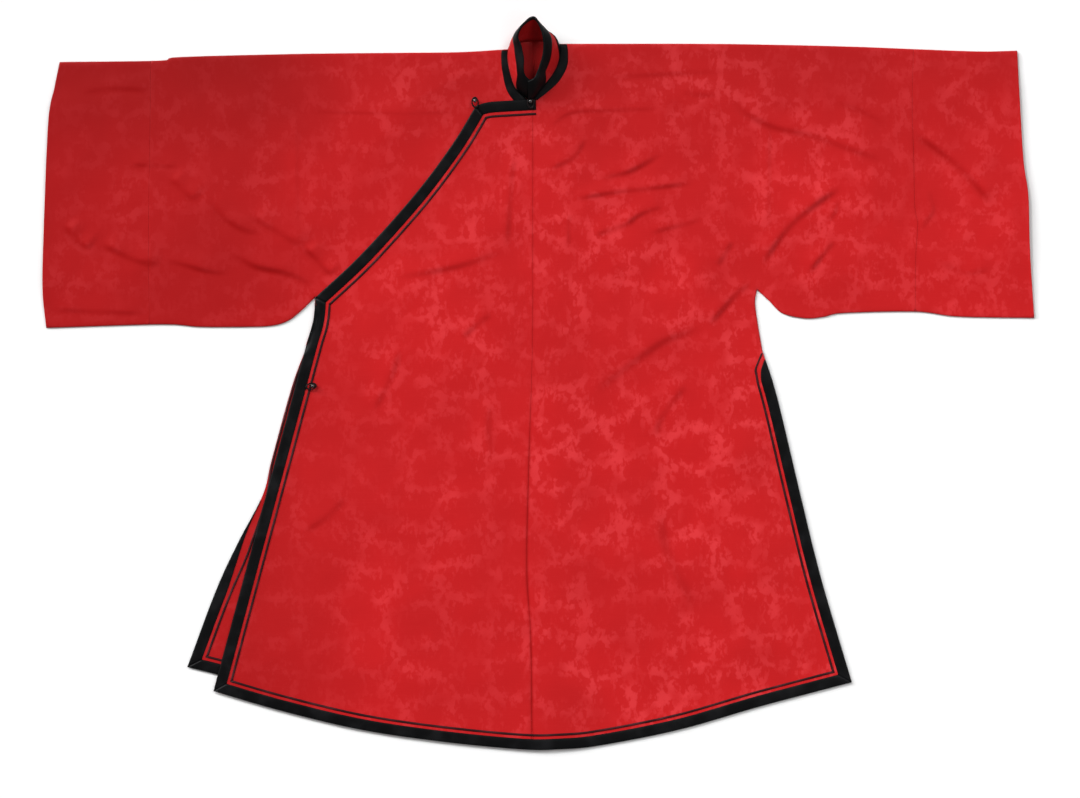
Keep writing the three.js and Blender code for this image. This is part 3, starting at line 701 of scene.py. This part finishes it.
def build(name, points, faces, material, shade=None):
    """An object on the robe's one body, from drawn points."""
    mesh = bpy.data.meshes.new(name)
    mesh.from_pydata([tuple(p) for p in place(points)], [], [tuple(map(int, f)) for f in faces])
    if shade is not None:
        values = mesh.attributes.new("shade", "FLOAT", "POINT")
        values.data.foreach_set("value", np.asarray(shade, np.float32))
    mesh.shade_smooth()
    mesh.materials.append(material)
    piece = bpy.data.objects.new(name, mesh)
    bpy.context.scene.collection.objects.link(piece)
    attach(piece, "root")
    return piece


EDGE_ROWS = (0.7, 1.9, 3.8)  # how far in from a sheet's edge its rows of points run


def lattice(low, high, step):
    """Points of a staggered grid."""
    rise = step * 0.866
    rows = np.arange(math.floor(low[1] / rise), math.ceil(high[1] / rise) + 1)
    columns = np.arange(math.floor(low[0] / step), math.ceil(high[0] / step) + 1)
    x, y = np.meshgrid(columns * step, rows * rise)
    return (x + (rows[:, None] % 2) * step / 2).ravel(), y.ravel()


def fill(outline, step, closer):
    """(points, triangles) over an outline: rows along its edge, and a grid that is closer at creases."""
    low, high = outline.min(0), outline.max(0)
    x, y = lattice(low, high, step)
    keep = inside(outline, x, y)
    x, y = x[keep], y[keep]
    if closer:
        x2, y2 = lattice(low, high, step / 2)
        near = crease_near(x2, y2) < 0
        x2, y2 = x2[near], y2[near]
        keep = inside(outline, x2, y2)
        far = crease_near(x, y) >= 0
        x, y = np.concatenate([x[far], x2[keep]]), np.concatenate([y[far], y2[keep]])
    ring = np.vstack([outline, outline[:1]])
    keep = distance(ring, x, y) > EDGE_ROWS[-1] + 0.45 * step
    points = [outline, np.stack([x[keep], y[keep]], 1)]
    area = np.sum(outline[:, 0] * np.roll(outline[:, 1], -1) - outline[:, 1] * np.roll(outline[:, 0], -1))
    inward = normals(np.vstack([outline[-1:], ring]))[1:-1] * np.sign(area)
    for away in EDGE_ROWS:
        row = outline + inward * away
        fits = inside(outline, row[:, 0], row[:, 1]) & (distance(ring, row[:, 0], row[:, 1]) > 0.93 * away)
        points.append(row[fits])
    count = len(outline)
    edges = [(i, (i + 1) % count) for i in range(count)]
    flat = [Vector(map(float, p)) for p in np.vstack(points)]
    made = delaunay_2d_cdt(flat, edges, [], 1, 1e-4, False)
    flat, faces = np.array(made[0], float), np.array(made[2])
    middle = flat[faces].mean(1)
    return flat, [tuple(f) for f in faces[inside(outline, middle[:, 0], middle[:, 1])]]


def layer(outline, step, height, up=True, closer=False):
    """A layer of cloth over an outline, as (points, faces, shade)."""
    flat, faces = fill(outline, step, closer)
    z, shade = height(flat[:, 0], flat[:, 1])
    a, b, c = (flat[faces[0][k]] for k in range(3))
    turned = (b[0] - a[0]) * (c[1] - a[1]) - (b[1] - a[1]) * (c[0] - a[0]) < 0
    if turned == up:
        faces = [f[::-1] for f in faces]
    return np.column_stack([flat, z]), faces, shade


def shell(name, layers, nodes):
    """Layers of lined silk, joined where their edges meet and given their thickness inwards."""
    points = np.vstack([p for p, _, _ in layers])
    shade = np.concatenate([s for _, _, s in layers])
    faces, start = [], 0
    for p, f, _ in layers:
        faces += [tuple(i + start for i in face) for face in f]
        start += len(p)
    piece = build(name, points, faces, SILK, shade)
    work = bmesh.new()
    work.from_mesh(piece.data)
    bmesh.ops.remove_doubles(work, verts=work.verts, dist=3e-5)
    work.to_mesh(piece.data)
    work.free()
    solid = piece.modifiers.new("thickness", "SOLIDIFY")
    solid.thickness = CLOTH / 1000
    solid.offset = -1
    piece.data.materials.append(LINED)
    solid.material_offset = 1
    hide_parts(*nodes)
    return piece


def tube(name, runs, material, nodes):
    """Closed strips, each through rows of points that run side by side round its section."""
    points, faces, start = [], [], 0
    for rows in runs:
        count, around = len(rows[0]), len(rows)
        points += rows
        for j in range(around):
            k = (j + 1) % around
            for i in range(start, start + count - 1):
                faces.append((j * count + i, j * count + i + 1, k * count + i + 1, k * count + i))
        faces.append([start + j * count for j in range(around)])
        faces.append([start + j * count + count - 1 for j in reversed(range(around))])
        start += count * around
    piece = build(name, np.vstack(points), faces, material)
    work = bmesh.new()
    work.from_mesh(piece.data)
    bmesh.ops.recalc_face_normals(work, faces=work.faces)
    work.to_mesh(piece.data)
    work.free()
    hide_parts(*nodes)
    return piece


def strips(paths, section, near, far, height, uneven):
    """Rows of points for a strip along each path, between two distances in from the border."""
    rows = [[] for _ in paths]
    counts = [max(4, round(np.linalg.norm(np.diff(p, axis=0), axis=1).sum() / STRIP_STEP)) for p in paths]
    for share, lift in section:

        def reach(points, share=share):
            return near(points) + share * (far(points) - near(points))

        for k, moved in enumerate(inset(paths, reach)):
            line = even(moved, count=counts[k])
            x, y = line[:, 0], line[:, 1]
            wave = uneven * ripple(x, y, 34, 7.0)
            rows[k].append(np.column_stack([line, height(x, y) + lift + wave * (lift > 0.2)]))
    return rows

# ------------------------------------------------------------------ outlines of the layers


def crossing(a, b):
    """Path a up to where it first crosses path b, and b from there on."""
    for i, (p, q) in enumerate(zip(a[:-1], a[1:], strict=True)):
        for j, (r, s) in enumerate(zip(b[:-1], b[1:], strict=True)):
            d, e = q - p, s - r
            across = d[0] * e[1] - d[1] * e[0]
            if abs(across) < 1e-9:
                continue
            t = ((r[0] - p[0]) * e[1] - (r[1] - p[1]) * e[0]) / across
            u = ((r[0] - p[0]) * d[1] - (r[1] - p[1]) * d[0]) / across
            if 0 <= t <= 1 and 0 <= u <= 1:
                return np.vstack([a[: i + 1], p + t * d]), np.vstack([p + t * d, b[j + 1 :]])
    raise ValueError("the paths don't cross")


seam = PATHS["centre_seam"]
seam_left, seam_right = PATHS["sleeve_seam_left"], PATHS["sleeve_seam_right"]
top_left, low_left = SLEEVE_SEAM_LEFT[0][0], SLEEVE_SEAM_LEFT[-1][0]
top_right, low_right = SLEEVE_SEAM_RIGHT[0][0], SLEEVE_SEAM_RIGHT[-1][0]
slit_up = PATHS["slit_left"][::-1]

left_sleeve = [  # from the armpit along the underarm, up the sleeve's seam and back along the shoulder
    clip(PATHS["underarm_left"], low_left, -1),
    seam_left[::-1][1:-1],
    clip(PATHS["shoulder_left"], top_left, -1)[::-1],
]
right_sleeve = [
    clip(PATHS["underarm_right"], low_right, 1)[::-1],
    seam_right[::-1][1:-1],
    clip(PATHS["shoulder_right"], top_right, 1),
]
OVERLAP_OUTLINE = join(
    PATHS["placket_top"], PATHS["placket_slant"], PATHS["overlap_side"],
    clip(PATHS["hem"], seam[-1, 0] - HAIR, -1), seam[::-1] - (HAIR, 0),
)
left_front = join(
    seam + (HAIR, 0), clip(PATHS["hem"], seam[-1, 0] + HAIR, 1), slit_up, PATHS["seam_left"][::-1],
    *left_sleeve, PATHS["neck_left"][1:-1],
)
left_end = join(
    clip(PATHS["underarm_left"], low_left + SEAM_GAP, 1), PATHS["cuff_left"][::-1],
    clip(PATHS["shoulder_left"], top_left + SEAM_GAP, 1)[::-1], seam_left[1:-1] + (SEAM_GAP, 0),
)
inner_line = even(np.array([NECK_RIGHT[0], (INNER_FRONT_EDGE, INNER_FRONT_END)]), step=8)
right_front = join(
    clip(INNER_HEM, INNER_FRONT_EDGE, -1)[::-1], PATHS["slit_right"][::-1], PATHS["seam_right"][::-1],
    *right_sleeve, PATHS["neck_right"][::-1], inner_line,
)
right_end = join(
    clip(PATHS["shoulder_right"], top_right - SEAM_GAP, -1)[::-1], PATHS["cuff_right"],
    clip(PATHS["underarm_right"], low_right - SEAM_GAP, -1), seam_right[::-1][1:-1] - (SEAM_GAP, 0),
)
left_back_edge = list(crossing(clip(PATHS["hem"], -HAIR, 1) + (0, INNER_SHORTER), slit_up))
right_back_edge = [PATHS["slit_right"], clip(INNER_HEM, HAIR, -1)]
back_line = np.array([[HAIR, BACK_NECK[-1, 1]], [HAIR, BACK_END]])
left_back = join(
    *inset(left_back_edge, BINDING + BINDING_GAP), PATHS["seam_left"][::-1], *left_sleeve,
    BACK_NECK, even(back_line * (-1, 1), step=12),
)
right_back = join(
    *[path[::-1] for path in inset(right_back_edge, BINDING + BINDING_GAP)[::-1]],
    PATHS["seam_right"][::-1], *right_sleeve, BACK_NECK * (-1, 1), even(back_line, step=12),
)

# ------------------------------------------------------------------ cloth

fine, coarse = ((4.5, 12.0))


def upper(outline, height):
    return layer(outline, fine, height, closer=True)


def both(front, height, back):
    """A front at its height, and the back under it."""
    return [upper(front, height), layer(back, coarse, back_under, up=False)]


left_body = shell("left_body_cloth", both(left_front, front_top, left_back), ["left_body"])
right_body = shell("right_body_cloth", both(right_front, inner_top, right_back), ["right_body"])
left_cuff = shell("left_sleeve_end_cloth", both(left_end, front_top, left_end), ["left_sleeve_end"])
right_cuff = shell("right_sleeve_end_cloth", both(right_end, inner_top, right_end), ["right_sleeve_end"])
overlap = shell("overlap_front_cloth", [upper(OVERLAP_OUTLINE, front_top)], ["overlap_front"])

# ------------------------------------------------------------------ bindings and pipings


def slit_top(points, rows, values):
    """A value that changes down the top of the left slit, and keeps its last value everywhere else."""
    at_top = (points[:, 0] > 300) & (points[:, 1] > rows[0])
    return np.where(at_top, np.interp(points[:, 1], rows, values), values[0])


def edge(points):
    return np.zeros(len(points))


def full_width(points):
    return edge(points) + BINDING


def band_far(points):
    return BINDING * slit_top(points, *BAND_AT_SLIT)


def piping_near(points):
    return PIPING[0] * slit_top(points, *PIPING_AT_SLIT)


def piping_far(points):
    return piping_near(points) + PIPING[1] - PIPING[0]


def coming_out(points, start, low, high, full):
    """A distance in from the edge that grows from start to full on the way down the inner front."""
    return start + (full - start) * smooth(low, high, -points[:, 1])


def inner_far(points):
    return coming_out(points, *INNER_BAND_FROM, BINDING)


def inner_near(points):
    return coming_out(points, *INNER_CORD_FROM, PIPING[0])


def inner_over(points):
    return inner_near(points) + PIPING[1] - PIPING[0]


placket_on = np.vstack([[PLACKET_END], PATHS["placket_top"]])
front_border = [placket_on, PATHS["placket_slant"], PATHS["overlap_side"], PATHS["hem"]]
band_border, cord_border = ([*front_border, clip(slit_up, top, -1, axis=1)] for top in SLIT_TRIM_TOP)
bands = strips(band_border, BAND_SECTION, edge, band_far, front, 0.16)
cords = strips(cord_border, CORD_SECTION, piping_near, piping_far, front, 0.1)
trims = {"placket": slice(0, 2), "overlap_side": slice(2, 3), "hem": slice(3, 4), "slit": slice(4, 5)}
on_overlap, on_left = [], []
for name, part in trims.items():
    made = [
        tube(f"{name}_band", bands[part], SATIN, [f"{name}_binding"]),
        tube(f"{name}_cord", cords[part], PIPED, [f"{name}_piping"]),
    ]
    (on_left if name == "slit" else on_overlap).extend(made)

inner_hem = clip(INNER_HEM, INNER_FRONT_EDGE, -1)
inner_side = clip(PATHS["slit_right"], -INNER_BAND_FROM[1], -1, axis=1)
rolled_side = join(clip(PATHS["seam_right"], INNER_CORD_TOP, -1, axis=1), PATHS["slit_right"])
inner_bands = strips([inner_side, inner_hem], BAND_SECTION, edge, inner_far, inner, 0.14)
inner_cords = strips([rolled_side, inner_hem], CORD_SECTION, inner_near, inner_over, inner, 0.1)
on_right = [
    tube("inner_side_band", inner_bands[:1], SATIN, ["inner_side_binding"]),
    tube("inner_hem_band", inner_bands[1:], SATIN, ["inner_hem_binding"]),
    tube("inner_cord", inner_cords, PIPED, ["inner_piping"]),
]

below_slit = [clip(path, SLIT_TOP - 0.3, -1, axis=1) for path in (left_back_edge[1], right_back_edge[0])]
back_left = strips([left_back_edge[0], below_slit[0]], FLAT_SECTION, edge, full_width, level, 0.0)
back_right = strips([below_slit[1], right_back_edge[1]], FLAT_SECTION, edge, full_width, level, 0.0)
on_left.append(tube("back_band_left", back_left, SATIN, ["back_binding_left"]))
on_right.append(tube("back_band_right", back_right, SATIN, ["back_binding_right"]))

# ------------------------------------------------------------------ collar and neck

PER = 10  # rows of points from each row of a table to the next
base, edge_line = (curve([row[k] for row in COLLAR], PER) for k in (0, 1))
outwards = np.column_stack([base[:, 0], base[:, 1] - NECK_CENTRE[1], 0 * base[:, 0]])
outwards /= np.linalg.norm(outwards, axis=1)[:, None]
bulge = curve([[row[2]] for row in COLLAR], PER)
span = np.linspace(0, 1, len(base))


def collar_at(v, off):
    """A row of the collar: v is the share of its height (a number or a row), off the distance out."""
    v = np.broadcast_to(np.asarray(v, float), span.shape)[:, None]

    def middle(share):
        return base * (1 - share) + edge_line * share + outwards * (bulge * 4 * share * (1 - share))

    here = middle(v)
    out = np.cross(middle(v + 0.02) - middle(v - 0.02), np.gradient(here, axis=0))
    out /= np.linalg.norm(out, axis=1)[:, None]
    out *= np.sign((out * outwards).sum(1))[:, None]
    soft = 0.5 * ripple(span * 330, v[:, 0] * 30, 22, 8.0)
    return here + out * (off + soft[:, None])


half = COLLAR_THICK / 2
heights = np.linspace(0, 1, 11)
collar_rows = [collar_at(v, half)[1:-1] for v in heights] + [collar_at(v, -half)[1:-1] for v in heights[::-1]]
collar = tube("collar_cloth", [collar_rows], SILK, ["collar"])
lower = BINDING_FROM * smooth(*BINDING_END, span) * smooth(*BINDING_END, 1 - span)
shares = np.linspace(0, 1, 8)
band_rows = [collar_at(lower, half + 0.1), collar_at(lower, half + 0.75)]
band_rows += [collar_at(lower + s * (1 - lower), half + 0.95) for s in shares[1:-1]]
under = BINDING_INSIDE * smooth(*INSIDE_END, span) * smooth(*INSIDE_END, 1 - span)
band_rows += [collar_at(1.0, half + 0.8), collar_at(1.03, 0.0), collar_at(1.0, -half - 0.8)]
band_rows += [collar_at(under + s * (1 - under), -half - 0.75) for s in shares[-2:0:-1]]
band_rows += [collar_at(under, -half - 0.7), collar_at(under, -half - 0.1)]
band_rows += [collar_at(0.98, -half + 0.3), collar_at(0.98, half - 0.3)]
collar_band = tube("collar_band", [band_rows], SATIN, ["collar_binding"])

def neck_part(rows, ground):
    """A flat band beside the neck, on the cloth whose height ground gives."""
    near, far = (curve([row[k] for row in rows], PER) for k in (0, 1))
    made = []
    for share, lift in NECK_SECTION:
        flat = near * (1 - share) + far * share
        made.append(np.column_stack([flat, ground(flat[:, 0], flat[:, 1]) + NECK_LIFT + lift]))
    return made


first, last, height = NECK_TURN_UP
behind = slice(round(first * PER), round(last * PER))
row_at = span * (len(COLLAR) - 1)
up = height * smooth(first, first + 1.2, row_at) * (1 - smooth(last - 2, last, row_at))
turned_up = [collar_at(0.0, half + 0.1), collar_at(0.0, half + 0.9)]
turned_up += [collar_at(s * up, half + 1.0) for s in (0.25, 0.5, 0.75)]
turned_up += [collar_at(up, half + 0.8), collar_at(up, half + 0.1)]
neck_right = tube("neck_band_right", [neck_part(NECK_BAND_RIGHT, inner)], SATIN, ["neck_binding_right"])
neck_left = tube(
    "neck_band_left", [neck_part(NECK_BAND_LEFT, front), [row[behind] for row in turned_up]], SATIN,
    ["neck_binding_left"],
)

# ------------------------------------------------------------------ buttons and loops


def ring(centre, across, long, way, thick, turns=40, sides=10):
    """A closed loop of cord, longer along way than across."""
    way = np.array(way, float) / np.hypot(*way)
    side = np.array([-way[1], way[0]])
    points = []
    for a in np.linspace(0, 2 * math.pi, turns, endpoint=False):
        for b in np.linspace(0, 2 * math.pi, sides, endpoint=False):
            out = 1 + thick * math.cos(b) / across
            flat = way * long * math.cos(a) * out + side * across * math.sin(a) * out
            points.append((centre[0] + flat[0], centre[1] + flat[1], centre[2] + thick * math.sin(b)))
    faces = []
    for i in range(turns):
        for j in range(sides):
            p, q = (i + 1) % turns, (j + 1) % sides
            faces.append((i * sides + j, p * sides + j, p * sides + q, i * sides + q))
    return points, faces


def ball(centre, radius, rows=20, sides=28):
    """A knotted ball: round, with shallow grooves where its cord crosses itself."""
    points = []
    for i in range(rows + 1):
        tilt = math.pi * i / rows
        for j in range(sides):
            turn = 2 * math.pi * j / sides
            r = radius * (1 - 0.05 * math.exp(-((math.sin(2 * turn + 3 * tilt) / 0.25) ** 2)))
            flat = r * math.sin(tilt)
            points.append((
                centre[0] + flat * math.cos(turn), centre[1] + flat * math.sin(turn),
                centre[2] + r * math.cos(tilt),
            ))
    faces = []
    for i in range(rows):
        for j in range(sides):
            q = (j + 1) % sides
            faces.append((i * sides + j, (i + 1) * sides + j, (i + 1) * sides + q, i * sides + q))
    return points, faces


for name, (x, y), way in BUTTONS:
    length = math.hypot(*way)
    piece = build(f"button_{name}_ball", *ball((x, y, BUTTON_FLOOR + BUTTON_RADIUS), BUTTON_RADIUS), BALL)
    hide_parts(f"button_{name}")
    wide, long, thick = LOOP
    shift = (long - wide) / length
    centre = (x + shift * way[0], y + shift * way[1], BUTTON_FLOOR + thick)
    piece = build(f"loop_{name}_cord", *ring(centre, wide, long, way, thick), CORD)
    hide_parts(f"loop_{name}")

# ------------------------------------------------------------------ floor, light and camera

bpy.ops.mesh.primitive_grid_add(size=14, x_subdivisions=4, y_subdivisions=4, location=(0, 0, -0.0004))
floor = bpy.context.object
floor.name = "floor"
floor.data.materials.append(plain_floor("floor_white"))

world = bpy.context.scene.world or bpy.data.worlds.new("studio")
bpy.context.scene.world = world
world.use_nodes = True
background = world.node_tree.nodes["Background"]
background.inputs["Color"].default_value = (1.0, 1.0, 1.0, 1)
background.inputs["Strength"].default_value = 0.30


def light(name, kind, power, direction, location=(0, 0, 0)):
    """A light's settings, once it shines on the robe from a direction."""
    data = bpy.data.lights.new(name, kind)
    data.energy = power
    lamp = bpy.data.objects.new(name, data)
    bpy.context.scene.collection.objects.link(lamp)
    lamp.location = location
    lamp.rotation_euler = Vector(direction).to_track_quat("Z", "Y").to_euler()
    return data


light("key", "SUN", 1.75, (-0.45, 0.60, 0.66)).angle = math.radians(16)
light("low", "SUN", 2.6, (-0.75, 0.50, 0.38)).angle = math.radians(26)
light("above", "SUN", 0.95, (0.40, 0.42, 0.82)).angle = math.radians(20)
light("right", "AREA", 14, (2.6, -1.6, 3.0), location=(2.6, -1.6, 3.0)).size = 2.0
bpy.context.scene.view_settings.view_transform = "Standard"

camera_data = bpy.data.cameras.new("camera")
camera_data.lens = 188.6
camera_data.clip_end = 100
camera = bpy.data.objects.new("camera", camera_data)
camera.location = (0.0014, -0.0227, 8.0)
bpy.context.scene.collection.objects.link(camera)
bpy.context.scene.camera = camera
